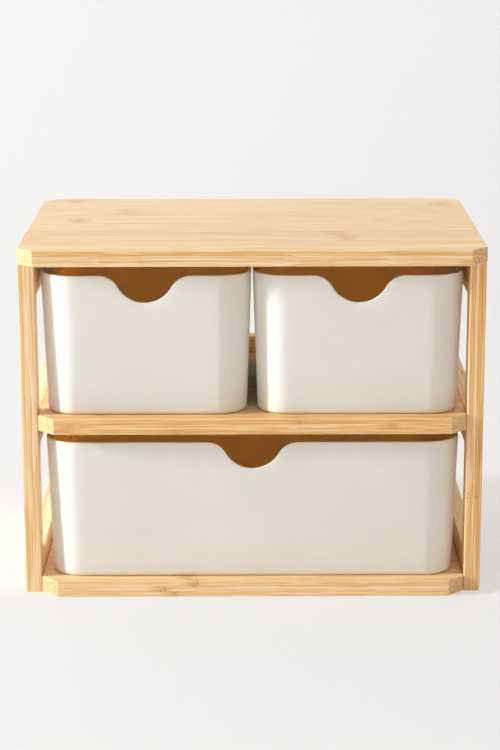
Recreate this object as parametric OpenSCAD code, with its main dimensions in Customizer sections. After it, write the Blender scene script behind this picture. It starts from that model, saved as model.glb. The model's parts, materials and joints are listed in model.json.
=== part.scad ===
// Desktop mini drawers: an open bamboo case with two small drawers side by side
// above one wide drawer. Millimetres, +Z up, fronts towards -Y.
// The origin is the centre of the footprint, on the surface the case stands on.

/* [Case] */
// Width of the top board
case_w = 340; // [260:1:560]
// Depth of the top board, front edge to back edge
case_d = 240; // [160:1:380]
// Thickness of the top board and both shelves
board_t = 12; // [10:0.5:20]
// Clear height between two boards
bay_h = 112.5; // [80:0.5:180]
// How far the boards reach past the front and back faces of the posts
overhang = 12; // [6:0.5:25]
// Small bevel that takes the sharpness off every long wooden edge
edge_ease = 0.8; // [0.3:0.1:1.5]

/* [Side frames] */
// Width of a post, and thickness of the rails between the posts
post_w = 12; // [11:0.5:20]
// Depth of a post, front face to back face
post_d = 18; // [17:0.5:30]
// How far the posts stand in from the ends of the top board
post_inset = 0.3; // [0:0.1:6]
// Height of a side rail
rail_h = 26; // [20:0.5:40]
// Height of the lowest side rails above the surface
low_rail_lift = 4; // [2:0.5:12]
// Height of a back rail
back_rail_h = 26; // [22:0.5:40]
// Thickness of a back rail
back_rail_t = 12; // [10:0.5:16]

/* [Dowels] */
// Dowel diameter
dowel_d = 6; // [4:0.5:6]
// Dowel length
dowel_l = 24; // [20:1:28]
// Depth of a dowel in a post or board that it enters through the face
dowel_seat = 7; // [5:0.5:7]
// Clearance all round a dowel in its hole
dowel_fit = 0.1; // [0.05:0.05:0.2]
// Room for glue at each end of a dowel
glue_room = 0.5; // [0.2:0.1:1]
// Distance of the dowels in a post from its outer face
post_dowel_in = 5; // [4:0.5:5]
// Distance of the dowels in a rail end from the rail's edges
rail_dowel_in = 6.5; // [5:0.5:8]
// Distance of the outer dowels in a shelf's back edge from its ends
shelf_dowel_in = 57; // [20:1:80]
// Distance of the dowels on top of an upper rail from the rail's ends
top_dowel_in = 45; // [30:1:60]

/* [Drawers] */
// Height left open between a drawer's rim and the board above
rim_gap = 8; // [3:0.5:30]
// Gap between a small drawer's rim and the posts
small_side_gap = 2.9; // [0.5:0.1:8]
// Gap between the rims of the two small drawers
centre_gap = 0.8; // [0.6:0.1:8]
// Gap between the wide drawer's rim and the posts
wide_side_gap = 4.3; // [0.5:0.1:8]
// How far the rims stand out in front of the posts
rim_proud = 4; // [0:0.5:8]
// Gap between a pushed-in drawer and the top edge of the back rail
stop_gap = 0.4; // [0.3:0.1:3]
// How much narrower each side is at the base than at the rim
draft = 3.5; // [1:0.5:6]
// Radius of a drawer's upright corners at the rim
corner_r = 25.5; // [14:0.5:34]
// Wall thickness
wall_t = 2; // [1.2:0.1:3]
// Floor thickness
floor_t = 2; // [1.2:0.1:4]
// Rounding of the edge around the base
base_round = 3; // [1.5:0.5:5]

/* [Finger scoops] */
// Depth of the scoop below the rim
scoop_depth = 20; // [12:0.5:26]
// Radius of the scoop's bottom
scoop_r = 22; // [14:0.5:26]
// Radius of the shoulders where the scoop runs out into the rim
shoulder_r = 16; // [6:0.5:20]

/* [Hidden] */
// Smoothness of the turned shapes, and steps in each drawn arc
$fn = 96;
arc_steps = 12;
// Reach of a cutting shape past the faces that it cuts
past = 5;

wood = "#E6C48C";
end_wood = "#DDB679";
white_plastic = "#E9E6E0";

// The case from the inside out
inner_w = case_w - 2 * (post_inset + post_w);
case_h = 3 * board_t + 2 * bay_h;
mid_z = board_t + bay_h;
top_z = case_h - board_t;
post_x = case_w / 2 - post_inset - post_w / 2;
post_front_y = -case_d / 2 + overhang;
post_back_y = case_d / 2 - overhang;
rail_start_y = post_front_y + post_d;
rail_end_y = post_back_y - post_d;
shelf_back_y = post_back_y - back_rail_t;
corner_cut = overhang;

// Heights of the undersides of the rails
top_rail_z = top_z - rail_h;
mid_rail_z = mid_z + board_t - rail_h;
low_rail_z = low_rail_lift;

// Drawers
drawer_h = bay_h - rim_gap;
small_w = (inner_w - 2 * small_side_gap - centre_gap) / 2;
wide_w = inner_w - 2 * wide_side_gap;
small_x = (small_w + centre_gap) / 2;
rim_front_y = post_front_y - rim_proud;
stop_rise = back_rail_h - board_t;
rim_back_y = shelf_back_y - stop_gap + draft * (1 - stop_rise / drawer_h);
drawer_d = rim_back_y - rim_front_y;
drawer_y = (rim_back_y + rim_front_y) / 2;
base_r = corner_r - draft;
inner_round = max(base_round - wall_t, 0.5);

// Each dowel joint is [seam point, turn]: the turn points +Z into the piece
// that takes the long end of the dowel.
to_right = [0, 90, 0];
to_left = [0, -90, 0];
to_back = [-90, 0, 0];
to_front = [90, 0, 0];
downwards = [180, 0, 0];
function inwards(side) = side < 0 ? to_right : to_left;

function rail_joints(side, z) = [
    for (row = [rail_dowel_in, rail_h - rail_dowel_in])
        for (end = [[rail_start_y, to_back], [rail_end_y, to_front]])
            [[side * post_x, end[0], z + row], end[1]]
];
function shelf_joints(z) = [
    for (side = [-1, 1])
        [[side * inner_w / 2, post_front_y + post_dowel_in, z + board_t / 2], inwards(side)]
];
function shelf_back_joints(z) = [
    for (step = [-1, 0, 1])
        [[step * (inner_w / 2 - shelf_dowel_in), shelf_back_y, z + board_t / 2], to_front]
];
function back_rail_joints(z) = [
    for (side = [-1, 1], row = [rail_dowel_in, back_rail_h - rail_dowel_in])
        [[side * inner_w / 2, post_back_y - back_rail_t / 2, z + row], inwards(side)]
];
function post_top_joint(side, y) = [[side * post_x, y, top_z], downwards];
function rail_top_joints(side) = [
    for (y = [rail_start_y + top_dowel_in, rail_end_y - top_dowel_in])
        [[side * post_x, y, top_z], downwards]
];
front_dowel_y = post_front_y + post_dowel_in;
back_dowel_y = post_back_y - post_dowel_in;

all_rail_joints = [
    for (side = [-1, 1], z = [low_rail_z, mid_rail_z, top_rail_z], joint = rail_joints(side, z))
        joint
];
all_shelf_joints = [
    for (z = [0, mid_z], joint = concat(shelf_joints(z), shelf_back_joints(z)))
        joint
];
all_back_rail_joints = [
    for (z = [0, mid_z], joint = back_rail_joints(z))
        joint
];
all_top_joints = [
    for (side = [-1, 1], joint = concat(
            [post_top_joint(side, front_dowel_y), post_top_joint(side, back_dowel_y)],
            rail_top_joints(side)))
        joint
];

// Points of a circular arc around a centre, from one angle to another
function arc(centre, radius, from, to) = [
    for (i = [0:arc_steps])
        let (a = from + (to - from) * i / arc_steps)
            centre + radius * [cos(a), sin(a)]
];

// A rectangle with its four corners taken off, as the section of an eased bar
module bar_section(x0, y0, x1, y1) {
    e = edge_ease;
    polygon([
        [x0 + e, y0], [x1 - e, y0], [x1, y0 + e], [x1, y1 - e],
        [x1 - e, y1], [x0 + e, y1], [x0, y1 - e], [x0, y0 + e]
    ]);
}

// A flat board over an outline, with its upper and lower edges eased
module eased_board(outline) {
    count = len(outline);
    difference() {
        linear_extrude(board_t)
            polygon(outline);
        for (i = [0:count - 1], z = [0, board_t]) {
            start = outline[i];
            run = outline[(i + 1) % count] - start;
            translate([start[0], start[1], z])
                rotate([0, 0, atan2(run[1], run[0])])
                    edge_bevel(norm(run));
        }
    }
}

// The sliver that eases one edge of a board, lying along +X
module edge_bevel(edge_l) {
    side = edge_ease * sqrt(2);
    translate([-past, 0, 0])
        rotate([45, 0, 0])
            translate([0, -side / 2, -side / 2])
                cube([edge_l + 2 * past, side, side]);
}

// One dowel lying across its seam, with both ends lightly pointed
module dowel() {
    r = dowel_d / 2;
    tip = dowel_d / 8;
    rotate_extrude()
        polygon([
            [0, -dowel_seat], [r - tip, -dowel_seat], [r, tip - dowel_seat],
            [r, dowel_l - dowel_seat - tip], [r - tip, dowel_l - dowel_seat],
            [0, dowel_l - dowel_seat]
        ]);
}

// The hole that one dowel needs on both sides of its seam
module dowel_hole() {
    translate([0, 0, -dowel_seat - glue_room])
        cylinder(h = dowel_l + 2 * glue_room, d = dowel_d + 2 * dowel_fit);
}

module at_joints(joints) {
    for (joint = joints)
        translate(joint[0])
            rotate(joint[1])
                children();
}

module top_board() {
    x = case_w / 2;
    y = case_d / 2;
    c = corner_cut;
    color(wood)
        difference() {
            translate([0, 0, top_z])
                eased_board([
                    [c - x, -y], [x - c, -y], [x, c - y], [x, y - c],
                    [x - c, y], [c - x, y], [-x, y - c], [-x, c - y]
                ]);
            at_joints(all_top_joints)
                dowel_hole();
        }
}

// A shelf fills the width between the posts and stops at the back rail
module shelf(z) {
    x = inner_w / 2;
    y = -case_d / 2;
    c = corner_cut;
    color(wood)
        difference() {
            translate([0, 0, z])
                eased_board([
                    [c - x, y], [x - c, y], [x, y + c],
                    [x, shelf_back_y], [-x, shelf_back_y], [-x, y + c]
                ]);
            at_joints(concat(shelf_joints(z), shelf_back_joints(z)))
                dowel_hole();
        }
}

module mid_shelf() {
    shelf(mid_z);
}

module bottom_shelf() {
    shelf(0);
}

// An upright of a side frame: side is -1 for left and 1 for right
module post(side, y0) {
    top_dowel_y = y0 < 0 ? front_dowel_y : back_dowel_y;
    color(wood)
        difference() {
            linear_extrude(top_z)
                bar_section(
                    side * post_x - post_w / 2, y0,
                    side * post_x + post_w / 2, y0 + post_d);
            for (z = [low_rail_z, mid_rail_z, top_rail_z])
                at_joints(rail_joints(side, z))
                    dowel_hole();
            for (z = [0, mid_z])
                at_joints(concat(shelf_joints(z), back_rail_joints(z)))
                    dowel_hole();
            at_joints([post_top_joint(side, top_dowel_y)])
                dowel_hole();
        }
}

module front_left_post() {
    post(-1, post_front_y);
}

module front_right_post() {
    post(1, post_front_y);
}

module rear_left_post() {
    post(-1, rail_end_y);
}

module rear_right_post() {
    post(1, rail_end_y);
}

// A rail of a side frame, running from the front post to the rear post
module side_rail(side, z) {
    color(end_wood)
        difference() {
            translate([side * post_x, rail_end_y, z])
                rotate([90, 0, 0])
                    linear_extrude(rail_end_y - rail_start_y)
                        bar_section(-post_w / 2, 0, post_w / 2, rail_h);
            at_joints(rail_joints(side, z))
                dowel_hole();
            if (z == top_rail_z)
                at_joints(rail_top_joints(side))
                    dowel_hole();
        }
}

module left_top_rail() {
    side_rail(-1, top_rail_z);
}

module left_middle_rail() {
    side_rail(-1, mid_rail_z);
}

module left_bottom_rail() {
    side_rail(-1, low_rail_z);
}

module right_top_rail() {
    side_rail(1, top_rail_z);
}

module right_middle_rail() {
    side_rail(1, mid_rail_z);
}

module right_bottom_rail() {
    side_rail(1, low_rail_z);
}

// A rail behind a shelf that joins the rear posts and stops the drawers
module back_rail(z) {
    color(end_wood)
        difference() {
            translate([-inner_w / 2, 0, z])
                rotate([90, 0, 90])
                    linear_extrude(inner_w)
                        bar_section(shelf_back_y, 0, post_back_y, back_rail_h);
            at_joints(concat(shelf_back_joints(z), back_rail_joints(z)))
                dowel_hole();
        }
}

module middle_back_rail() {
    back_rail(mid_z);
}

module lower_back_rail() {
    back_rail(0);
}

module dowel_group(joints) {
    color(end_wood)
        at_joints(joints)
            dowel();
}

module side_rail_dowels() {
    dowel_group(all_rail_joints);
}

module shelf_dowels() {
    dowel_group(all_shelf_joints);
}

module back_rail_dowels() {
    dowel_group(all_back_rail_joints);
}

module top_board_dowels() {
    dowel_group(all_top_joints);
}

// Half-section of a drawer's outside, from the middle of a corner outwards
function outer_section() = concat(
    [[0, 0]],
    arc([base_r - base_round, base_round], base_round, -90, 0),
    [[corner_r, drawer_h], [0, drawer_h]]
);

// The same for the hollow, carried past the rim along the wall's slope
slope = draft / (drawer_h - base_round);
function hollow_section() =
    let (
        foot = base_r - wall_t + slope * (floor_t + inner_round - base_round),
        mouth = corner_r - wall_t + slope * past
    )
    concat(
        [[0, floor_t]],
        arc([foot - inner_round, floor_t + inner_round], inner_round, -90, 0),
        [[mouth, drawer_h + past], [0, drawer_h + past]]
    );

// A tub with upright corners turned from a section, and flat sides between them
module tub(w, section) {
    x = w / 2 - corner_r;
    y = drawer_d / 2 - corner_r;
    for (sx = [-1, 1], sy = [-1, 1])
        translate([sx * x, sy * y, 0])
            rotate_extrude()
                polygon(section);
    straight(x, y, section);
    rotate([0, 0, 90])
        straight(y, x, section);
}

// A prism 2 * half_l long along X, whose sides stand the section out past half_w
module straight(half_l, half_w, section) {
    right = [for (p = section) if (p[0] > 0) [half_w + p[0], p[1]]];
    left = [for (i = [len(right) - 1:-1:0]) [-right[i][0], right[i][1]]];
    translate([-half_l, 0, 0])
        rotate([90, 0, 90])
            linear_extrude(2 * half_l)
                polygon(concat(right, left));
}

// Outline of the finger scoop, with its rim at y = 0
module scoop_outline() {
    rise = scoop_r - scoop_depth;
    drop = rise + shoulder_r;
    reach = scoop_r + shoulder_r;
    shoulder_x = sqrt(reach * reach - drop * drop);
    tilt = atan2(drop, shoulder_x);
    right = concat(
        arc([0, rise], scoop_r, -90, -tilt),
        arc([shoulder_x, -shoulder_r], shoulder_r, 180 - tilt, 90)
    );
    left = [for (i = [len(right) - 1:-1:1]) [-right[i][0], right[i][1]]];
    polygon(concat(right, [[shoulder_x, past], [-shoulder_x, past]], left));
}

// A drawer: a tapered tub of thin plastic with a finger scoop in its front wall
module drawer(w, x, z) {
    color(white_plastic)
        translate([x, drawer_y, z])
            difference() {
                tub(w, outer_section());
                tub(w, hollow_section());
                translate([0, -drawer_d / 2 + wall_t + draft + past, drawer_h])
                    rotate([90, 0, 0])
                        linear_extrude(wall_t + draft + 2 * past)
                            scoop_outline();
            }
}

module left_drawer() {
    drawer(small_w, -small_x, mid_z + board_t);
}

module right_drawer() {
    drawer(small_w, small_x, mid_z + board_t);
}

module wide_drawer() {
    drawer(wide_w, 0, board_t);
}

top_board();
mid_shelf();
bottom_shelf();
front_left_post();
front_right_post();
rear_left_post();
rear_right_post();
left_top_rail();
left_middle_rail();
left_bottom_rail();
right_top_rail();
right_middle_rail();
right_bottom_rail();
middle_back_rail();
lower_back_rail();
side_rail_dowels();
shelf_dowels();
back_rail_dowels();
top_board_dowels();
left_drawer();
right_drawer();
wide_drawer();
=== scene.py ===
# %% [markdown]
# # Desktop mini drawers, dressed
# The object is an open bamboo case with three loose plastic drawers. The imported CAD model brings
# the sizes, the joints and the hidden dowels. This script gives every piece that can be seen its
# finished surface: boards and bars with eased edges, thin moulded tubs with rolled rims, bamboo
# with strips and nodes, and matte plastic. It could all be done by hand in the viewport. Here it is
# written down as formulas, so that each run gives the same object.

# %% Load the frame
import json
import math
from types import SimpleNamespace

import bpy
import numpy as np
from mathutils import Matrix, Vector

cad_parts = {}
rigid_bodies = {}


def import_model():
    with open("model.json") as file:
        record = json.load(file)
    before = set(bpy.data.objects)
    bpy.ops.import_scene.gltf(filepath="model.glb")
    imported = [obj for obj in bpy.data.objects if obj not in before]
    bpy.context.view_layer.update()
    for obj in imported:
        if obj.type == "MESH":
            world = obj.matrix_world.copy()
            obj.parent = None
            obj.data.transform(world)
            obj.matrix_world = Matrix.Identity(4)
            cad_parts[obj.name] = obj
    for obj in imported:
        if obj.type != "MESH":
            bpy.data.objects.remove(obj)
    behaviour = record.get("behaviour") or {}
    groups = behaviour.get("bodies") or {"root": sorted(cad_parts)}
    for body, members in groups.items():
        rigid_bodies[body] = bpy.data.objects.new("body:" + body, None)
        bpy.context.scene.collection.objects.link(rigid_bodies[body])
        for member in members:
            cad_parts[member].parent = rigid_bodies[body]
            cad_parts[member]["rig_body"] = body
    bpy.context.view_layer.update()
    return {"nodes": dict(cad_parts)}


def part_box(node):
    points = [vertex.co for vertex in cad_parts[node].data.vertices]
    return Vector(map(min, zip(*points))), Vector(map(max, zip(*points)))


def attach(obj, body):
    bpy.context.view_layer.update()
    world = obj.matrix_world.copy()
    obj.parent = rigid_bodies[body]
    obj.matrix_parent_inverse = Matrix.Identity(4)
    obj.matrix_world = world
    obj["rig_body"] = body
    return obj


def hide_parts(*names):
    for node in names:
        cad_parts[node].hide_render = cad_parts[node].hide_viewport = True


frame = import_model()
MM = 0.001

# %% [markdown]
# ## The camera
# The photo was taken from in front and a little above with a long lens, so the upright edges stay
# almost parallel. The distance, tilt and lens come from fitting the case's straight edges. Blender
# measures the lens against the longer side of the picture, here the height of 750 pixels.

# %% Camera
PICTURE_H = 750
FOCAL_PIXELS = 2133.4
SENSOR = 36.0
EYE = Vector((-1.65, -1622.8, 532.5)) * MM
TILT_DOWN = 0.2371
ROLL = -0.0027

forward = Vector((0.0, math.cos(TILT_DOWN), -math.sin(TILT_DOWN)))
level_up = Vector((0.0, math.sin(TILT_DOWN), math.cos(TILT_DOWN)))
level_right = Vector((1.0, 0.0, 0.0))
right = math.cos(ROLL) * level_right + math.sin(ROLL) * level_up
up = math.cos(ROLL) * level_up - math.sin(ROLL) * level_right

camera = bpy.data.objects.new("camera", bpy.data.cameras.new("camera"))
bpy.context.scene.collection.objects.link(camera)
bpy.context.scene.camera = camera
camera.data.sensor_width = SENSOR
camera.data.lens = FOCAL_PIXELS * SENSOR / PICTURE_H
turn = Matrix((right, up, -forward)).transposed().to_4x4()
camera.matrix_world = Matrix.Translation(EYE) @ turn
tilt = math.degrees(TILT_DOWN)
print("lens", round(camera.data.lens, 2), "mm, tilted down", round(tilt, 2), "degrees")

# %% [markdown]
# ## From formulas to meshes
# Every new piece is a grid of points: rows run up the piece and over its edges, and columns run
# round it. A modelling tool would call it a lofted surface. Working it out as arrays keeps the
# points evenly placed and the faces all pointing outwards. Flat ends are closed with one face.

# %% Mesh helpers
def grid_faces(rows, columns):
    """Quads of a grid whose columns close round: (i, j), (i, j+1), (i+1, j+1), (i+1, j)."""
    i, j = np.meshgrid(np.arange(rows - 1), np.arange(columns), indexing="ij")
    k = (j + 1) % columns
    corners = [i * columns + j, i * columns + k, (i + 1) * columns + k, (i + 1) * columns + j]
    return np.stack(corners, -1).reshape(-1, 4)


def lofted_piece(name, points, wear_and_highlight=None):
    """A closed mesh from points[row, column, xyz] in mm, with a flat face over each end row.

    The last argument, one share of rounded edge per [row, column], is kept as a point attribute.
    Bamboo paints a pale highlight there from it, and the plastic's rubbed rim turns glossier."""
    rows, columns = points.shape[:2]
    last = (rows - 1) * columns
    ends = [list(range(columns))[::-1], list(range(last, last + columns))]
    mesh = bpy.data.meshes.new(name)
    places = points.reshape(-1, 3) * MM
    mesh.from_pydata(places.tolist(), [], grid_faces(rows, columns).tolist() + ends)
    mesh.shade_smooth()
    if wear_and_highlight is not None:
        mesh.attributes.new("wear_and_highlight", "FLOAT", "POINT").data.foreach_set("value", wear_and_highlight.ravel())
    piece = bpy.data.objects.new(name, mesh)
    bpy.context.scene.collection.objects.link(piece)
    return piece


def fit(piece, node, material):
    """The piece stands for a CAD node: it rides on the node's body and takes the finish it is
    given.
    """
    body = frame["nodes"][node]["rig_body"]
    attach(piece, body)
    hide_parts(node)
    piece.data.materials.append(material)
    print(f"{piece.name}: {len(piece.data.polygons)} faces, on {body}")


def box_mm(node):
    """The node's lowest and highest corner in mm, as two arrays."""
    return [np.array(corner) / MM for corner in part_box(node)]


print("top board in mm:", [corner.round(1).tolist() for corner in box_mm("top_board")])

# %% [markdown]
# ## Node graphs as formulas
# Materials in Blender are graphs of small nodes. Wiring them by hand is slow to read in a script,
# so this helper has one method per kind of node. Each method adds the node and returns its output,
# and a graph then reads like arithmetic.

# %% Graph helper
class Graph:
    """A new material, or the world that is given, with methods that each add one node."""

    def __init__(self, name, world=None):
        self.material = world or bpy.data.materials.new(name)
        self.material.use_nodes = True
        self.tree = self.material.node_tree
        self.shader = self.tree.nodes["Background" if world else "Principled BSDF"]

    def put(self, socket, value):
        """Links an output into the socket, or sets a plain number or colour on it."""
        if isinstance(value, bpy.types.NodeSocket):
            self.tree.links.new(value, socket)
        else:
            socket.default_value = value

    def node(self, kind, inputs=(), output=0, **settings):
        """Adds a node with its settings and inputs, and returns the output that is asked for."""
        made = self.tree.nodes.new("ShaderNode" + kind)
        for key, value in settings.items():
            setattr(made, key, value)
        for key, value in dict(inputs).items():
            self.put(made.inputs[key], value)
        return made.outputs[output]

    def math(self, operation, a, b=0.0):
        """The operation on a and b, such as the larger of them, or on a alone."""
        return self.node("Math", {0: a, 1: b}, operation=operation)

    def add(self, a, b):
        """a + b."""
        return self.math("ADD", a, b)

    def times(self, a, b):
        """a * b."""
        return self.math("MULTIPLY", a, b)

    def step(self, value, low, high, to_low=0.0, to_high=1.0):
        """Goes smoothly from to_low to to_high while value goes from low to high."""
        inputs = {"Value": value, "From Min": low, "From Max": high,
                  "To Min": to_low, "To Max": to_high}
        return self.node("MapRange", inputs, interpolation_type="SMOOTHSTEP")

    def vector(self, x, y, z):
        """Three numbers as one place or direction."""
        return self.node("CombineXYZ", {0: x, 1: y, 2: z})

    def parts(self, vector):
        """The x, y and z of a vector."""
        split = self.tree.nodes.new("ShaderNodeSeparateXYZ")
        self.put(split.inputs[0], vector)
        return split.outputs

    def scaled(self, vector, factor):
        """All three parts of a vector, times one factor."""
        return self.node("VectorMath", {0: vector, "Scale": factor}, operation="SCALE")

    def place_mm(self):
        """Where the point lies, in mm from the object's origin."""
        return self.scaled(self.node("TexCoord", output="Object"), 1 / MM)

    def noise(self, place, detail=2.0):
        """Soft random hills about 0.5, one unit of the place apart, with finer ones on them."""
        inputs = {"Vector": place, "Scale": 1.0, "Detail": detail, "Roughness": 0.5}
        return self.node("TexNoise", inputs)

    def three_random(self, place):
        """Three random numbers that belong to a place."""
        chance = self.node("TexWhiteNoise", {"Vector": place}, output="Color")
        pick = self.tree.nodes.new("ShaderNodeSeparateColor")
        self.put(pick.inputs[0], chance)
        return pick.outputs

    def blend(self, share, a, b):
        """Colour a, turning into colour b as share goes from 0 to 1."""
        mixed = self.tree.nodes.new("ShaderNodeMix")
        mixed.data_type = "RGBA"
        for socket, value in [(0, share), (6, a), (7, b)]:
            self.put(mixed.inputs[socket], value)
        return mixed.outputs[2]

    def finish(self, **sockets):
        """Sets or links the shader's own sockets, given by name with _ for a space."""
        for name, value in sockets.items():
            self.put(self.shader.inputs[name.replace("_", " ")], value)
        return self.material


def paint(red, green, blue):
    """A colour as a picture shows it, 0 to 255, turned into the linear light that nodes use."""
    shown = np.array([red, green, blue]) / 255
    light = np.where(shown <= 0.04045, shown / 12.92, ((shown + 0.055) / 1.055) ** 2.4)
    return (*light.tolist(), 1.0)


print("middle grey as light:", round(paint(128, 128, 128)[0], 3))

# %% [markdown]
# ## Bamboo
# Laminated bamboo is made of split strips, planed square and glued up in plies. Each strip keeps
# its own tone, has fine straight fibres, and every 20 to 30 cm it crosses a node, where the stalk
# had a joint: a short darker band with a pitted scar in it. Across the ends the bundles show as
# dots. A picture wrapped round each board would break at its edges. This material is a solid
# instead: it asks where a point lies along the grain, across the strips and through the plies, so
# faces, edges and cut corners all agree. It is built up in the next cells, step by step: each step
# adds to what is known about a point, which is kept together under the name p.

# %% Bamboo colours
PALE = paint(249, 220, 178)
HONEY = paint(236, 192, 123)
ORANGE = paint(222, 156, 75)
MARK = paint(219, 158, 87)
RIND = paint(190, 122, 54)
SCAR = paint(158, 98, 42)
GLUE_LINE = paint(170, 110, 50)
# Painted highlight: the pale colour painted on rounded edges.
PAINTED_EDGE_HIGHLIGHT = paint(249, 219, 168)
END_LIGHT = paint(222, 185, 135)
END_DOT = paint(150, 106, 58)
PINKISH = paint(240, 206, 170)
print("bamboo goes from", [round(v, 2) for v in PALE[:3]], "to", [round(v, 2) for v in ORANGE[:3]])

# %% [markdown]
# ### Strips and plies
# A piece of the wood is a stack of plies, and each ply is a row of strips. So two numbers say where
# a point is: which ply, and which strip in it. They come from dividing its place by the sizes of
# a ply and a strip and rounding down. Random numbers that belong to the pair give each strip its
# own tone. In a real board the strips of one ply don't lie over those of the next, and they aren't
# all equally wide, so each ply is shifted and its seams wander a little. Next to a seam is glue.
# The plies reach PLANED past the faces of the piece, because a face that lay exactly on a seam
# would take the colour of the glue all over.

# %% Strips and plies
PLANED = 0.5
GLUE_REACH = 0.3
PLY_SHIFT = 0.37
UNEVEN = 1.1
UNEVEN_PER_STRIP = 0.6


def find_strip(g, p, strip, start, plies, span, seed):
    """Ply and strip of the point, three random numbers of that strip, and nearness to glue.

    Ply number = floor((deep - low) / ply), strip number = floor((side - start) / strip + shift of
    the ply + unevenness). glue goes from 0 to 1 over the last GLUE_REACH mm before a seam."""
    ply_low = span[0] - PLANED
    ply = (span[1] - span[0] + 2 * PLANED) / plies
    p.ply_place = g.times(g.add(p.deep, -ply_low), 1 / ply)
    ply_number = g.math("FLOOR", p.ply_place)
    wander = g.noise(g.vector(seed, g.times(p.side, UNEVEN_PER_STRIP / strip), ply_number))
    strip_place = g.times(g.add(p.side, -start), 1 / strip)
    strip_place = g.add(strip_place, g.times(ply_number, PLY_SHIFT))
    strip_place = g.add(strip_place, g.times(g.add(wander, -0.5), UNEVEN))
    p.strip_number = g.math("FLOOR", strip_place)
    p.tone, p.phase, p.pallor = g.three_random(g.vector(p.strip_number, ply_number, seed))

    def near_seam(place, size):
        from_middle = g.math("ABSOLUTE", g.add(g.math("FRACT", place), -0.5))
        return g.step(from_middle, 0.5 - GLUE_REACH / size, 0.5)

    p.glue = g.math("MAXIMUM", near_seam(strip_place, strip), near_seam(p.ply_place, ply))


print("plies reach", PLANED, "mm past the faces, glue", GLUE_REACH, "mm from each seam")

# %% [markdown]
# ### Nodes of the stalk
# A stalk has a joint every 20 to 30 cm, and each strip keeps what was cut from it: a soft darker
# smudge across its fibres, and in the middle of it a narrow scar with small pits. Strips are laid
# up without regard to them, so every strip gets its own phase. Some strips show a node strongly
# and others hardly at all.

# %% Nodes of the stalk
NODE_GAP = 235.0
RAGGED = 0.03
SMUDGE_REACH = 14.0
SCAR_REACH = (1.5, 4.5)
PIT_LENGTH, PIT_WIDTH = 1.3, 2.4
RAG_LENGTH, RAG_WIDTH = 20.0, 4.0


def find_node(g, p, seed, scatter, centre):
    """Smudge and scar of the nearest node, each from 0 to 1, and the raggedness of their edges.

    Place in gaps = (along - centre) / NODE_GAP + scatter * (random - 0.5) + RAGGED * (noise - 0.5).
    The distance to the node is that place's distance to a whole number, times NODE_GAP."""
    p.ragged = g.noise(g.vector(g.times(p.along, 1 / RAG_LENGTH), g.times(p.side, 1 / RAG_WIDTH),
                                g.times(p.deep, 1 / RAG_WIDTH)))
    shifted = g.times(g.add(p.along, -centre), 1 / NODE_GAP)
    shifted = g.add(shifted, g.times(g.add(p.phase, -0.5), scatter))
    shifted = g.add(shifted, g.times(p.ragged, RAGGED))
    shifted = g.add(shifted, 0.5 - RAGGED / 2)
    from_node = g.times(g.math("ABSOLUTE", g.add(g.math("FRACT", shifted), -0.5)), NODE_GAP)
    own = g.vector(p.strip_number, g.math("FLOOR", shifted), seed)
    strength = g.step(g.node("TexWhiteNoise", {"Vector": own}), 0.15, 0.85, 0.1, 1.0)
    p.smudge = g.times(g.step(from_node, 0.0, SMUDGE_REACH, 1.0, 0.0), strength)
    grit = g.noise(g.vector(g.times(p.along, 1 / PIT_LENGTH), g.times(p.side, 1 / PIT_WIDTH),
                            g.times(p.deep, 1 / PIT_WIDTH)))
    pitted = g.times(g.step(from_node, *SCAR_REACH, 1.0, 0.0), g.add(g.times(strength, 0.5), 0.5))
    p.scar = g.times(pitted, g.step(grit, 0.5, 0.6))


print("nodes every", NODE_GAP, "mm, each", 2 * SMUDGE_REACH, "mm long")

# %% [markdown]
# ### Fibres
# Bamboo has no growth rings. Its grain is bundles of straight fibres, so the faces show streaks and
# the cut ends show dots. Streaks are noise that is stretched far along the grain. Three widths of
# it, laid over each other, look like the real mix of fine fibres, bundles and broad drifts. The
# bundles are a pattern of cells, stretched along the grain in the same way. It draws thin lines on
# a face and dots on an end.

# %% Fibres
FINE = (60.0, 0.6)
MIDDLE = (120.0, 1.6)
BROAD = (230.0, 5.0)
BUNDLE = (70.0, 1.5)
BEND, BEND_LENGTH, BEND_WIDTH = 6.0, 100.0, 25.0
SWERVE = 6.0


def find_fibres(g, p, seed):
    """Streaks of three widths and the bundles' dots, on a grain that bends a little.

    Each streak is noise at (along / length, side / width, deep / width). The side is first moved
    by BEND times a slow noise, and by SWERVE times the node's raggedness where the node is."""
    slow = g.vector(g.times(p.along, 1 / BEND_LENGTH), g.times(p.side, 1 / BEND_WIDTH), seed)
    bend = g.times(g.add(g.noise(slow), -0.5), BEND)
    swerve = g.times(g.times(g.add(p.ragged, -0.5), p.smudge), SWERVE)
    fibre_side = g.add(p.side, g.add(bend, swerve))

    def stretched(length, width):
        return g.vector(g.times(p.along, 1 / length), g.times(fibre_side, 1 / width),
                        g.times(p.deep, 1 / width))

    def streaks(size, detail=1.0):
        own = g.vector(seed, p.tone, p.pallor)
        return g.noise(g.node("VectorMath", {0: stretched(*size), 1: own}), detail)

    p.fine, p.middle, p.broad = streaks(FINE, 2.0), streaks(MIDDLE), streaks(BROAD)
    bundles = g.node("TexVoronoi", {"Vector": stretched(*BUNDLE), "Scale": 1.0}, output="Distance")
    p.dots = g.step(bundles, 0.18, 0.42, 1.0, 0.0)


print("fibre streaks, length and width in mm:", FINE, MIDDLE, BROAD)

# %% [markdown]
# ### From tones to colours
# The tones of strip and streaks are added up to one number, the shade, and the shade picks a colour
# between pale, honey and orange. Everything that lies on top is blended over it: a few pinkish
# strips, bundles, smudges, scars and glue. The cut ends get colours of their own, chosen by the
# face's direction, because ends drink lacquer and look duller.

# %% Colour of the faces
SHADE_MIDDLE = 0.55
STRIP_SHARE, BROAD_SHARE, MIDDLE_SHARE, FINE_SHARE = 0.26, 0.12, 0.26, 0.46
PINK_SHARE = 0.16
GLUE_SHARE, END_GLUE_SHARE = 0.42, 0.3
END_TONE_SHARE, END_DOT_SHARE = 0.5, 0.8


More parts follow.
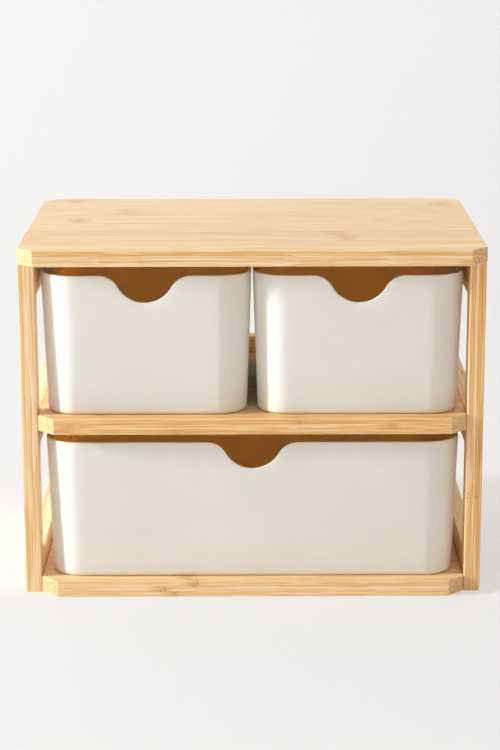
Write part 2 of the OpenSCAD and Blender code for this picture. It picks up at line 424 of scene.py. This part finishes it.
def long_face(g, p, plies, warmth, skin, contrast, scar_strength):
    """Colour of a face along the grain, from a shade of 0 (pale) over 0.5 (honey) to 1.1 (orange).

    Shade = SHADE_MIDDLE + contrast * (sum of tones - SHADE_MIDDLE) + last ply's skin + warmth."""
    shade = g.add(g.times(p.tone, STRIP_SHARE), g.times(g.step(p.broad, 0.36, 0.64), BROAD_SHARE))
    shade = g.add(shade, g.times(g.step(p.middle, 0.38, 0.62), MIDDLE_SHARE))
    shade = g.add(shade, g.times(g.step(p.fine, 0.38, 0.62), FINE_SHARE))
    shade = g.add(g.times(g.add(shade, -SHADE_MIDDLE), contrast), SHADE_MIDDLE)
    in_last_ply = g.step(p.ply_place, plies - 1.1, plies - 0.9)
    below_its_face = g.step(p.ply_place, plies - 0.4, plies - 0.2, skin, 0.0)
    shade = g.add(g.add(shade, g.times(in_last_ply, below_its_face)), warmth)
    colour = g.blend(g.step(shade, 0.0, 0.55), PALE, HONEY)
    colour = g.blend(g.step(shade, 0.50, 1.1), colour, ORANGE)
    colour = g.blend(g.times(p.pallor, PINK_SHARE), colour, PINKISH)
    colour = g.blend(g.times(p.dots, g.step(p.middle, 0.4, 0.6, 0.05, 0.35)), colour, RIND)
    colour = g.blend(g.times(p.smudge, g.step(p.fine, 0.3, 0.7, 0.45, 0.8)), colour, MARK)
    colour = g.blend(g.times(p.scar, scar_strength), colour, SCAR)
    return g.blend(g.times(p.glue, GLUE_SHARE), colour, GLUE_LINE)


def cut_end(g, p):
    """Colour of a face across the grain: dots of bundles on a plain ground."""
    colour = g.blend(g.times(p.tone, END_TONE_SHARE), END_LIGHT, HONEY)
    colour = g.blend(g.times(p.dots, END_DOT_SHARE), colour, END_DOT)
    return g.blend(g.times(p.glue, END_GLUE_SHARE), colour, GLUE_LINE)


print("shade is strip, broad, middle, fine:", STRIP_SHARE, BROAD_SHARE, MIDDLE_SHARE, FINE_SHARE)

# %% [markdown]
# ### The finished bamboo
# The lacquer on such cases is thin and satin, and lets the grain be felt. So the streaks also set
# how rough the surface is and raise it a little as bump, and a weak clear coat lies on the boards.
# Rounded edges get a painted highlight: they are painted paler. The meshes carry each point's
# share of rounded edge as an attribute.

# %% Bamboo material
GRAIN_DEPTH = 0.05


def bamboo(name, axes, strip, start, plies, span, seed=0.0, warmth=0.0, skin=0.0, contrast=1.0,
           coat=0.05, nodes=(7.0, 0.0, 0.15)):
    """Bamboo for a piece, with axes in the order grain, across the strips, through the plies.

    The plies share span, which is the piece's own low and high plus PLANED at both ends. warmth
    turns the whole towards orange, and skin does so for the edge of the last ply, which is cut from
    nearer the stem's outside. contrast spreads the tones about their middle, and coat is the share
    of lacquer. nodes says how far the nodes of the strips scatter, where they lie along the grain
    if they don't scatter, and how strong their scars are."""
    scatter, centre, scar_strength = nodes
    g, p = Graph(name), SimpleNamespace()
    axis = dict(zip("xyz", g.parts(g.place_mm())))
    p.along, p.side, p.deep = [axis[letter] for letter in axes]
    find_strip(g, p, strip, start, plies, span, seed)
    find_node(g, p, seed, scatter, centre)
    find_fibres(g, p, seed)

    facing = g.parts(g.node("NewGeometry", output="Normal"))["xyz".index(axes[0])]
    is_end = g.step(g.math("ABSOLUTE", facing), 0.5, 0.68)
    face = long_face(g, p, plies, warmth, skin, contrast, scar_strength)
    colour = g.blend(is_end, face, cut_end(g, p))
    # Painted highlight: rounded edges are painted paler, more on some streaks than on others.
    wear_and_highlight = g.node("Attribute", output="Fac", attribute_name="wear_and_highlight")
    colour = g.blend(g.times(wear_and_highlight, g.step(p.middle, 0.25, 0.6, 0.15, 0.45)), colour, PAINTED_EDGE_HIGHLIGHT)

    height = g.add(g.times(p.fine, 0.6), g.times(p.dots, -0.5))
    bump = g.node("Bump", {"Height": height, "Strength": 0.35, "Distance": GRAIN_DEPTH * MM})
    gloss = g.step(p.fine, 0.3, 0.7, 0.42, 0.54)
    return g.finish(Base_Color=colour, Roughness=gloss, Normal=bump,
                    Coat_Weight=coat, Coat_Roughness=0.3)


print("grain stands", GRAIN_DEPTH, "mm high at most")

# %% [markdown]
# ## Matte plastic
# The drawers are moulded in a warm white plastic. The mould is finely blasted, which leaves a grain
# of about a third of a millimetre that breaks up reflections. A plain white shader looks like
# plaster. Slight cloudiness in tone and gloss, and that grain as bump, make it read as plastic. A
# wall of 2 mm isn't opaque either. Light that falls on its outside comes through warm, and gives
# the closed drawers their amber inside. Subsurface scattering does that, with the longest reach for
# red and the shortest for blue. Blender has several methods for it. The one taken here stays smooth
# in walls this thin, where the random walk turns blotchy. The reach is set between two ends: longer
# makes the inside glow as in the photo, and shorter keeps the walls white when a drawer is open.

# %% Plastic material
WARM_WHITE = paint(230, 229, 221)
CREAM = paint(227, 225, 215)
GREIGE = paint(214, 208, 198)
CLOUD_SIZE = 70.0
BLAST_SIZE = 0.32
BLAST_DEPTH = 0.06
GLOW_REACH = 4.6
GLOW_TINT = (1.0, 0.56, 0.07)


def moulded_plastic():
    """Warm white that lets some light through: slow drift in tone, blasted grain, rubbed rim.

    Drift and grain are noise of CLOUD_SIZE and BLAST_SIZE mm. Light reaches GLOW_REACH mm into the
    wall, times GLOW_TINT for red, green and blue."""
    g = Graph("white_plastic_moulded")
    place = g.place_mm()
    drift = g.noise(g.scaled(place, 1 / CLOUD_SIZE))
    grain = g.noise(g.scaled(place, 1 / BLAST_SIZE))
    wear_and_highlight = g.node("Attribute", output="Fac", attribute_name="wear_and_highlight")
    colour = g.blend(g.step(drift, 0.3, 0.7), WARM_WHITE, CREAM)
    colour = g.blend(g.times(grain, 0.06), colour, GREIGE)
    gloss = g.step(grain, 0.3, 0.7, 0.50, 0.60)
    gloss = g.add(gloss, g.times(wear_and_highlight, -0.1))
    bump = g.node("Bump", {"Height": grain, "Strength": 0.22, "Distance": BLAST_DEPTH * MM})
    g.shader.subsurface_method = "BURLEY"
    g.shader.inputs["Subsurface Radius"].default_value = GLOW_TINT
    return g.finish(Base_Color=colour, Roughness=gloss, Normal=bump, Specular_IOR_Level=0.35,
                    Subsurface_Weight=1.0, Subsurface_Scale=GLOW_REACH * MM)


print("light reaches", GLOW_REACH, "mm into the plastic, in walls of 2 mm")

# %% [markdown]
# ## Boards and bars
# The wooden pieces are flat boards with cut corners, and straight bars. All of them are one shape:
# an outline with rounded corners, carried along a straight line, and drawn in at both ends by a
# quarter round. A Bevel modifier on a prism would come close. The formula also gives each point
# its share of rounded edge, where the bamboo is painted with a pale highlight, and keeps a narrow
# flat row beside every round, so that flats shade flat.

# %% Round an outline
HOLD = 0.35
ARC_STEPS = 5


def outline_columns(corners, rounding):
    """Columns round a convex outline: the corner's centre, the way out from it, and its share of
    rounded edge, which the bamboo paints as a pale highlight.

    A column's place at inset d is centre + (rounding - d) * way out. A corner between two edges
    turns the way out from one edge's normal to the next in equal steps, and its first and last
    column step back along the edges by HOLD."""
    corners = np.asarray(corners, float)
    run = np.roll(corners, -1, 0) - corners
    run /= np.linalg.norm(run, axis=1)[:, None]
    before, after = np.roll(run, 1, 0), run
    start = np.arctan2(-before[:, 0], before[:, 1])
    cross = before[:, 0] * after[:, 1] - before[:, 1] * after[:, 0]
    swing = np.arctan2(cross, (before * after).sum(1))
    share = np.linspace(0, 1, ARC_STEPS + 1)
    angle = start[:, None] + swing[:, None] * share
    out = np.stack([np.cos(angle), np.sin(angle)], -1)
    inward = rounding / np.cos(swing / 2)
    middle = start + swing / 2
    centre = corners - inward[:, None] * np.stack([np.cos(middle), np.sin(middle)], -1)
    centres = np.repeat(centre[:, None], ARC_STEPS + 3, 1)
    centres[:, 0] -= HOLD * before
    centres[:, -1] += HOLD * after
    out = np.concatenate([out[:, :1], out, out[:, -1:]], 1)
    wear_and_highlight = np.concatenate([[0], np.sin(np.pi * share), [0]])
    return centres.reshape(-1, 2), out.reshape(-1, 2), np.tile(wear_and_highlight, len(corners))


square = [(0, 0), (10, 0), (10, 10), (0, 10)]
print("columns round a square:", len(outline_columns(square, 1.0)[0]))

# %% [markdown]
# ### Carried along a line
# The outline becomes a solid when it is carried from one end to the other. Near both ends it is
# drawn in along a quarter round, which eases the ends. Each grid row is one stop on that way.

# %% Eased solid
def eased_solid(name, corners, low, high, axis, rounding, end_round):
    """A convex outline carried from low to high along an axis, with a quarter round at both ends.

    Row profile, as (inset, height): the flat's edge, the quarter round (e - e sin a, e - e cos a),
    a holding row, and the same mirrored at the top."""
    centres, out, column_highlight = outline_columns(corners, rounding)
    angle = np.linspace(0, np.pi / 2, ARC_STEPS + 1)
    inset = np.concatenate([[end_round + HOLD], end_round * (1 - np.sin(angle)), [0]])
    rise = np.concatenate([[0], end_round * (1 - np.cos(angle)), [end_round + HOLD]])
    row_highlight = np.concatenate([[0], np.sin(2 * angle), [0]])
    inset = np.concatenate([inset, inset[::-1]])
    row_highlight = np.concatenate([row_highlight, row_highlight[::-1]])
    height = np.concatenate([low + rise, high - rise[::-1]])
    flat = centres + (rounding - inset)[:, None, None] * out
    rows = np.broadcast_to(height[:, None, None], (*flat.shape[:2], 1))
    points = np.concatenate([flat, rows], -1)
    points = np.roll(points, {"z": 0, "x": 1, "y": 2}[axis], -1)
    wear_and_highlight = np.maximum(row_highlight[:, None], column_highlight[None])
    wear_and_highlight[[0, -1]] = 0
    return lofted_piece(name, points, wear_and_highlight)


print("rows along a bar:", 2 * (ARC_STEPS + 3))

# %% [markdown]
# ## The three boards
# The top board has all four corners cut off at 45 degrees. The shelves sit between the posts, so
# only their front corners are cut. The cut is as long as the boards reach past the posts, which
# the frame gives: the step from the top board's front edge to the post's front face.

# %% Board outline
BOARD_EDGE = 0.9
BOARD_CORNER = 1.3

post_front = box_mm("front_left_post")[0][1]
cut = post_front - box_mm("top_board")[0][1]


def board_outline(low, high, back_cut):
    """Corners of a board, anticlockwise from the front left, with 45 degree cuts of one size."""
    (x0, y0), (x1, y1) = low[:2], high[:2]
    outline = [(x0 + cut, y0), (x1 - cut, y0), (x1, y0 + cut)]
    if back_cut:
        outline += [(x1, y1 - cut), (x1 - cut, y1), (x0 + cut, y1), (x0, y1 - cut)]
    else:
        outline += [(x1, y1), (x0, y1)]
    return outline + [(x0, y0 + cut)]


print("corners are cut by", round(cut, 2), "mm")

# %% [markdown]
# ### Stock for the boards
# Every board comes from other stock, so strips, tone and lacquer differ. Strip widths are in mm,
# and tones and lacquer are shares. The nodes of the bottom shelf lie in one row left of its middle,
# as on the real shelf's front edge. Those of the other boards are scattered. The shelves end a
# hairline short of the posts, so that each joint shows as a fine line.

# %% Boards
HAIRLINE = np.array([0.3, 0.0, 0.0])
BOARD_PLIES = 3
SCATTERED = 7.0
BOARD_STOCK = {
    "top_board": dict(strip=19.5, seed=3.1, warmth=-0.20, skin=0.26, coat=0.25,
                      nodes=(SCATTERED, 0.0, 0.1)),
    "mid_shelf": dict(strip=22.0, seed=17.0, warmth=0.12, skin=0.12, contrast=1.2, coat=0.0,
                      nodes=(SCATTERED, 0.0, 0.3)),
    "bottom_shelf": dict(strip=21.0, seed=41.0, warmth=-0.18, skin=0.05, coat=0.3,
                         nodes=(0.15, -58.0, 0.7)),
}

for node, stock in BOARD_STOCK.items():
    low, high = box_mm(node)
    is_top = node == "top_board"
    if not is_top:
        low, high = low + HAIRLINE, high - HAIRLINE
    board = eased_solid(f"{node}_bamboo", board_outline(low, high, is_top), low[2], high[2], "z",
                        BOARD_CORNER, BOARD_EDGE)
    finish = bamboo(f"bamboo_{node}", "xyz", start=low[1], plies=BOARD_PLIES,
                    span=(low[2], high[2]), **stock)
    fit(board, node, finish)

# %% [markdown]
# ## Posts and rails
# Bars are sawn from the same laminated stock, on edge, so their strips are narrow. Their long edges
# are rounded, and their ends are left almost square because they meet another piece there.

# %% Bar shape
BAR_EDGE = 0.9
BAR_END = 0.15


def bar(node, axis, finish):
    """A bar that fills its node's box, carried along the axis: a rectangle with eased corners."""
    low, high = box_mm(node)
    order = {"x": (1, 2, 0), "y": (2, 0, 1), "z": (0, 1, 2)}[axis]
    (a0, b0, c0), (a1, b1, c1) = low[list(order)], high[list(order)]
    corners = [(a0, b0), (a1, b0), (a1, b1), (a0, b1)]
    piece = eased_solid(f"{node}_bamboo", corners, c0, c1, axis, BAR_EDGE, BAR_END)
    fit(piece, node, finish)


back_low, back_high = box_mm("middle_back_rail")
print("a back rail is", (back_high - back_low).round(1).tolist(), "mm")

# %% [markdown]
# ### Stock for the bars
# The posts on the right are darker than those on the left and show a node low down, so each side
# has a finish of its own. The rails beside them are paler and plainer than the posts. The back
# rails are out of the light, and plain wood will do for them.

# %% Posts and rails
POST_STRIP, RAIL_STRIP, BACK_STRIP = 3.4, 6.5, 13.0
BAR_PLIES, BACK_PLIES = 3, 2
RAIL_START = 4.0
RAIL_PALER = 0.35
RAIL_SEED_STEP = 4
BACK_SEED = 13.0
POST_STOCK = {
    "left": dict(seed=5.0, warmth=-0.16, nodes=(SCATTERED, 0.0, 0.2)),
    "right": dict(seed=8.0, warmth=0.18, nodes=(0.02, 76.0, 0.5)),
}

back_finish = bamboo("bamboo_back_rails", "xzy", BACK_STRIP, back_low[2], BACK_PLIES,
                     (back_low[1], back_high[1]), BACK_SEED)
for side, stock in POST_STOCK.items():
    (x0, y0, _), (x1, y1, _) = box_mm(f"front_{side}_post")
    post_finish = bamboo(f"bamboo_{side}_posts", "zxy", POST_STRIP, x0, BAR_PLIES, (y0, y1),
                         contrast=1.6, **stock)
    rail_finish = bamboo(f"bamboo_{side}_rails", "yzx", RAIL_STRIP, RAIL_START, BAR_PLIES, (x0, x1),
                         stock["seed"] + RAIL_SEED_STEP, stock["warmth"] - RAIL_PALER, contrast=0.7)
    for end in ["front", "rear"]:
        bar(f"{end}_{side}_post", "z", post_finish)
    for level in ["top", "middle", "bottom"]:
        bar(f"{side}_{level}_rail", "y", rail_finish)
for node in ["middle_back_rail", "lower_back_rail"]:
    bar(node, "x", back_finish)

# %% [markdown]
# ## Drawers
# Each drawer is a tub 2 mm thick. Its four sides lean in by 3.5 mm towards the base, so that it
# leaves its mould. One profile does it all: from the middle of the underside out to the base's
# rounded edge, up the outside, over the rounded rim, down the inside and back over the floor. That
# profile is carried round a rectangle with round corners. The finger scoop is a dip in the height
# of the rim, so the rim stays rounded and closed all the way round it.

# %% Finger scoop
SCOOP_DEPTH = 20.0
SCOOP_R = 22.0
SHOULDER_R = 16.0
NEARLY = 0.999
TINY = 1e-6


def scoop_drop(x):
    """How far the rim dips at x from the scoop's middle, and the slope of the dip there.

    Bottom: a circle of SCOOP_R whose centre is SCOOP_R - SCOOP_DEPTH above the rim. Shoulders:
    circles of SHOULDER_R that touch both that circle and the rim line."""
    rise = SCOOP_R - SCOOP_DEPTH
    reach = SCOOP_R + SHOULDER_R
    shoulder_x = math.sqrt(reach**2 - (rise + SHOULDER_R) ** 2)
    touch_x = shoulder_x * SCOOP_R / reach
    x = np.abs(x)
    bottom = np.sqrt(np.maximum(SCOOP_R**2 - x**2, TINY))
    past = np.clip(shoulder_x - x, 0, SHOULDER_R * NEARLY)
    shoulder = np.sqrt(SHOULDER_R**2 - past**2)
    drop = np.where(x < touch_x, bottom - rise, SHOULDER_R - shoulder)
    slope = np.where(x < touch_x, x / bottom, past / shoulder)
    return drop, slope, shoulder_x


scoop_reach = scoop_drop(np.zeros(1))[2]
print("scoop is", round(2 * scoop_reach, 1), "mm wide with its shoulders,", SCOOP_DEPTH, "mm deep")

# %% [markdown]
# ### Round the tub
# The profile stands at many places round the tub: close together where the outline curves and
# over the scoop, and far apart along the straight walls, where nothing changes.

# %% Round the tub
CORNER_R = 25.5
CORNER_STEPS = 20
SCOOP_STEPS = 90
FRONT_STEPS = 5
SIDE_STEPS = 7
FAR = 1e3


def tub_columns(width, depth):
    """Columns round the tub, anticlockwise from the front left: foot, way out, x for the scoop.

    The outline is foot + radius * way out: quarter circles at the corners, straight in between.
    Away from the front, x is FAR, so that no scoop is cut there."""
    x, y = width / 2 - CORNER_R, depth / 2 - CORNER_R
    reach = scoop_drop(np.zeros(1))[2]
    plain = np.linspace(-x, -reach, FRONT_STEPS + 1)[1:-1]
    even = np.linspace(-1, 1, SCOOP_STEPS + 1)
    dip = reach * np.sin(even * np.pi / 2 * NEARLY)
    dip = 0.5 * dip + 0.5 * np.linspace(-reach, reach, SCOOP_STEPS + 1)
    front_x = np.concatenate([plain, dip, -plain[::-1]])
    side = np.linspace(-1, 1, SIDE_STEPS + 1)[1:-1]
    quarter = np.linspace(0, np.pi / 2, CORNER_STEPS + 1)

    def corner(cx, cy, start):
        way = np.stack([np.cos(start + quarter), np.sin(start + quarter)], -1)
        return np.tile([cx, cy], (len(way), 1)), way

    def straight(xs, ys, way):
        foot = np.stack(np.broadcast_arrays(xs, ys), -1)
        return foot, np.tile(way, (len(foot), 1))

    parts = [
        corner(-x, -y, np.pi), straight(front_x, -y, (0.0, -1.0)),
        corner(x, -y, -np.pi / 2), straight(x, side * y, (1.0, 0.0)),
        corner(x, y, 0.0), straight(-side * x, y, (0.0, 1.0)),
        corner(-x, y, np.pi / 2), straight(-x, -side * y, (-1.0, 0.0)),
    ]
    foot = np.concatenate([p[0] for p in parts])
    way = np.concatenate([p[1] for p in parts])
    at_front = (way[:, 1] < -NEARLY) & (foot[:, 1] < 0)
    return foot, way, np.where(at_front, foot[:, 0], FAR)


small_low, small_high = box_mm("left_drawer")
print("columns round a small drawer:", len(tub_columns(*(small_high - small_low)[:2])[0]))

# %% [markdown]
# ### Over the wall
# Seen in a cut, the wall starts under the floor, turns up round the base, leans outwards up to the
# rim, rolls over it and comes down inside. The rim is a half round across the wall. On the slopes
# of the scoop it is made a little higher, so that the wall keeps its thickness there too.

# %% Over the wall
LEAN = 3.5
WALL = 2.0
FLOOR = 2.0
BASE_ROUND = 3.0
INNER_ROUND = 1.0
FLAT_RING = 1.0
FOOT_STEPS = 8
WALL_ROWS = 10
RIM_STEPS = 10
HEEL_STEPS = 5


def tub_rows(height, drop, slope):
    """Radius, height and wear of each row and column of the profile, from underside to floor.

    Outside radius at height z is CORNER_R - LEAN * (height - z) / (height - BASE_ROUND), and the
    inside's is WALL less. A row of a wall lies at a share of the way up to its column's rim."""
    base = CORNER_R - LEAN

    def outer(z):
        return CORNER_R - LEAN * (height - z) / (height - BASE_ROUND)

    columns = len(drop)
    rim_r = WALL / 2
    lift = rim_r * np.sqrt(1 + slope**2)
    rim_foot = height - drop - lift
    angle = np.linspace(0, np.pi / 2, FOOT_STEPS + 1)
    one = np.ones(columns)
    foot_r = base - BASE_ROUND
    under_r = np.concatenate([[foot_r - FLAT_RING], foot_r + BASE_ROUND * np.sin(angle)])
    under_z = np.concatenate([[0.0], BASE_ROUND * (1 - np.cos(angle))])
    under_r, under_z = under_r[:, None] * one, under_z[:, None] * one
    share = np.linspace(0, 1, WALL_ROWS + 1)[1:, None]
    wall_z = BASE_ROUND + share * (rim_foot - BASE_ROUND)
    roll = np.linspace(0, np.pi, RIM_STEPS + 1)[1:-1, None]
    rim_z = rim_foot + lift * np.sin(roll)
    rim_radius = outer(rim_foot) - rim_r + rim_r * np.cos(roll)
    low_z = FLOOR + INNER_ROUND
    inner_z = rim_foot + (low_z - rim_foot) * np.linspace(0, 1, WALL_ROWS + 1)[:, None]
    bend = np.linspace(0, np.pi / 2, HEEL_STEPS + 1)[1:, None]
    heel = outer(low_z) - WALL - INNER_ROUND
    heel_r = heel + INNER_ROUND * np.cos(bend) * one
    heel_z = low_z - INNER_ROUND * np.sin(bend) * one
    radius = [under_r, outer(wall_z), rim_radius, outer(inner_z) - WALL, heel_r,
              (heel - FLAT_RING) * one[None]]
    level = [under_z, wall_z, rim_z, inner_z, heel_z, FLOOR * one[None]]
    wear_and_highlight = [0 * under_r, 0 * wall_z, np.sin(roll) * one, 0 * inner_z, 0 * heel_r, 0 * one[None]]
    return np.concatenate(radius), np.concatenate(level), np.concatenate(wear_and_highlight)


print("the wall leans out by", LEAN, "mm and is", WALL, "mm thick")

# %% [markdown]
# ### The three drawers
# Both small drawers and the wide one are the same form in three boxes. The scoop keeps its size,
# because a finger does, and so does the radius of the corners.

# %% Three drawers
def drawer(node, finish):
    """A tub that fills its node's box, with the scoop in the middle of its front."""
    low, high = box_mm(node)
    (width, depth, height), middle = high - low, (high + low) / 2
    foot, way, scoop_x = tub_columns(width, depth)
    drop, slope, _ = scoop_drop(scoop_x)
    radius, level, wear_and_highlight = tub_rows(height, drop, slope)
    flat = middle[:2] + foot + radius[..., None] * way
    points = np.concatenate([flat, (low[2] + level)[..., None]], -1)
    fit(lofted_piece(f"{node}_plastic", points, wear_and_highlight), node, finish)


DRAWERS = ["left_drawer", "right_drawer", "wide_drawer"]
plastic = moulded_plastic()
for node in DRAWERS:
    drawer(node, plastic)

# %% [markdown]
# ## Dowels
# The dowels sit glued in their holes, where no view reaches them, so the CAD shapes stay. They
# still get a wood of their own: plain turned rod with a fine grain and no lacquer.

# %% Dowels
ROD_PALE = paint(226, 196, 150)
ROD_TAN = paint(204, 166, 112)
ROD_GRAIN = 1.4
DOWEL_GROUPS = ["side_rail_dowels", "shelf_dowels", "back_rail_dowels", "top_board_dowels"]


def dowel_wood():
    """Pale rod wood: an even, fine grain in all directions, because the rods lie three ways."""
    g = Graph("dowel_wood")
    grain = g.noise(g.scaled(g.place_mm(), ROD_GRAIN), 4.0)
    colour = g.blend(g.step(grain, 0.35, 0.65), ROD_PALE, ROD_TAN)
    bump = g.node("Bump", {"Height": grain, "Strength": 0.3, "Distance": GRAIN_DEPTH * MM})
    return g.finish(Base_Color=colour, Roughness=g.step(grain, 0.3, 0.7, 0.6, 0.75), Normal=bump)


rod_wood = dowel_wood()
for node in DOWEL_GROUPS:
    cad_mesh = frame["nodes"][node].data
    cad_mesh.materials.clear()
    cad_mesh.materials.append(rod_wood)
print("dowel groups finished:", len(DOWEL_GROUPS))

# %% [markdown]
# ## Floor and backdrop
# The case stands on a pale sweep: a floor that curves up into a wall with no line between. It is a
# profile, flat then a quarter round then upright, carried sideways. Its sizes are in metres.

# %% Sweep
SWEEP_HALF_W = 6.0
SWEEP_FRONT = -16.0
SWEEP_BACK = 2.2
SWEEP_R = 1.2
SWEEP_TOP = 4.0
SWEEP_STEPS = 32


def sweep():
    """Profile points (y, z): the floor's front, a quarter circle of SWEEP_R, and the wall's top."""
    a = np.linspace(0, np.pi / 2, SWEEP_STEPS + 1)
    y = np.concatenate([[SWEEP_FRONT], SWEEP_BACK - SWEEP_R + SWEEP_R * np.sin(a), [SWEEP_BACK]])
    z = np.concatenate([[0.0], SWEEP_R - SWEEP_R * np.cos(a), [SWEEP_TOP]])
    x = np.array([-SWEEP_HALF_W, SWEEP_HALF_W])
    grid = np.stack(np.broadcast_arrays(x[:, None], y[None], z[None]), -1).reshape(-1, 3)
    k = np.arange(len(y) - 1)
    faces = np.stack([k, k + len(y), k + len(y) + 1, k + 1], -1)
    mesh = bpy.data.meshes.new("sweep")
    mesh.from_pydata(grid.tolist(), [], faces.tolist())
    mesh.shade_smooth()
    return bpy.data.objects.new("sweep", mesh)


floor = sweep()
bpy.context.scene.collection.objects.link(floor)
print("sweep", len(floor.data.polygons), "faces")

# %% [markdown]
# ### Paper
# Photographed paper looks almost evenly pale, because a camera squeezes its brightest tones
# together. Here a share of even glow does that. Only rays from the camera, from reflections and
# through clear surfaces see it. All other rays meet plain paper, so the glow lights nothing and
# the shadows stay on the floor.

# %% Paper
PAPER_WARM = paint(240, 238, 235)
PAPER_PALE = paint(242, 240, 237)
PAPER_GLOW = paint(234, 234, 233)
GLOW_SHARE = 0.6
MOTTLE_SIZE = 1 / 3
SEEN_BY = ["Is Camera Ray", "Is Glossy Ray", "Is Transmission Ray"]


def sweep_paint():
    """Matt paper, very slightly mottled, with an even glow for the rays that make the picture."""
    g = Graph("sweep_paper")
    mottle = g.noise(g.scaled(g.node("TexCoord", output="Object"), 1 / MOTTLE_SIZE))
    colour = g.blend(mottle, PAPER_WARM, PAPER_PALE)
    g.finish(Base_Color=colour, Roughness=0.8)
    glow = g.tree.nodes.new("ShaderNodeEmission")
    glow.inputs["Color"].default_value = PAPER_GLOW
    camera_ray, glossy_ray, clear_ray = [g.node("LightPath", output=kind) for kind in SEEN_BY]
    seen = g.math("MAXIMUM", g.math("MAXIMUM", camera_ray, glossy_ray), clear_ray)
    mixed = g.tree.nodes.new("ShaderNodeMixShader")
    g.put(mixed.inputs[0], g.times(seen, GLOW_SHARE))
    g.put(mixed.inputs[1], g.shader.outputs[0])
    g.put(mixed.inputs[2], glow.outputs[0])
    g.put(g.tree.nodes["Material Output"].inputs["Surface"], mixed.outputs[0])
    return g.material


floor.data.materials.append(sweep_paint())
print("paper glows by", GLOW_SHARE, "for", SEEN_BY)

# %% [markdown]
# ## Light
# Two things light the object. A soft sky fills it from all sides. It is slightly cool in front and
# behind and warm at the left and right, like a room with wood or curtains beside the window. That
# tans the drawers' flanks and the insides of the posts, and keeps the fronts neutral. A smaller,
# slightly cool lamp, 3.5 m to the left, a little in front and low, draws the soft-edged shadows
# that the boards cast on the drawers and posts. Light passes many times between pale walls, so it
# may bounce more often than Blender allows by default.

# %% Lights
SKY_LEVEL = 0.70
SKY_FRONT = (0.97, 1.02, 1.14, 1.0)
SKY_BACK = (0.96, 1.03, 1.15, 1.0)
SKY_SIDE = (0.85, 0.54, 0.22, 1.0)
FRONT_TO_BACK = (-0.6, 0.3)
MIDDLE_TO_SIDE = (0.25, 0.95)
LAMP_PLACE = Vector((-3.44, -0.63, 1.30))
LAMP_AIM = Vector((0.0, 0.0, 0.1))
LAMP_SIZE = (0.30, 0.55)
LAMP_POWER = 168.0
LAMP_COLOUR = (0.92, 0.99, 1.06)
DIFFUSE_BOUNCES = 12
ALL_BOUNCES = 16

world = bpy.data.worlds.new("sky")
g = Graph("sky", world)
sideways, backwards, _ = g.parts(g.node("TexCoord", output="Generated"))
behind = g.step(backwards, *FRONT_TO_BACK)
aside = g.step(g.math("ABSOLUTE", sideways), *MIDDLE_TO_SIDE)
sky_colour = g.blend(aside, g.blend(behind, SKY_FRONT, SKY_BACK), SKY_SIDE)
g.finish(Color=sky_colour, Strength=SKY_LEVEL)
bpy.context.scene.world = world

lamp = bpy.data.objects.new("key_lamp", bpy.data.lights.new("key_lamp", "AREA"))
lamp.data.shape = "RECTANGLE"
lamp.data.size, lamp.data.size_y = LAMP_SIZE
lamp.data.energy = LAMP_POWER
lamp.data.color = LAMP_COLOUR
lamp.location = LAMP_PLACE
lamp.rotation_euler = (LAMP_AIM - LAMP_PLACE).to_track_quat("-Z", "Y").to_euler()
bpy.context.scene.collection.objects.link(lamp)
bpy.context.scene.view_settings.view_transform = "Standard"
bpy.context.scene.cycles.diffuse_bounces = DIFFUSE_BOUNCES
bpy.context.scene.cycles.max_bounces = ALL_BOUNCES
print("sky", SKY_LEVEL, "lamp", LAMP_POWER, "W")
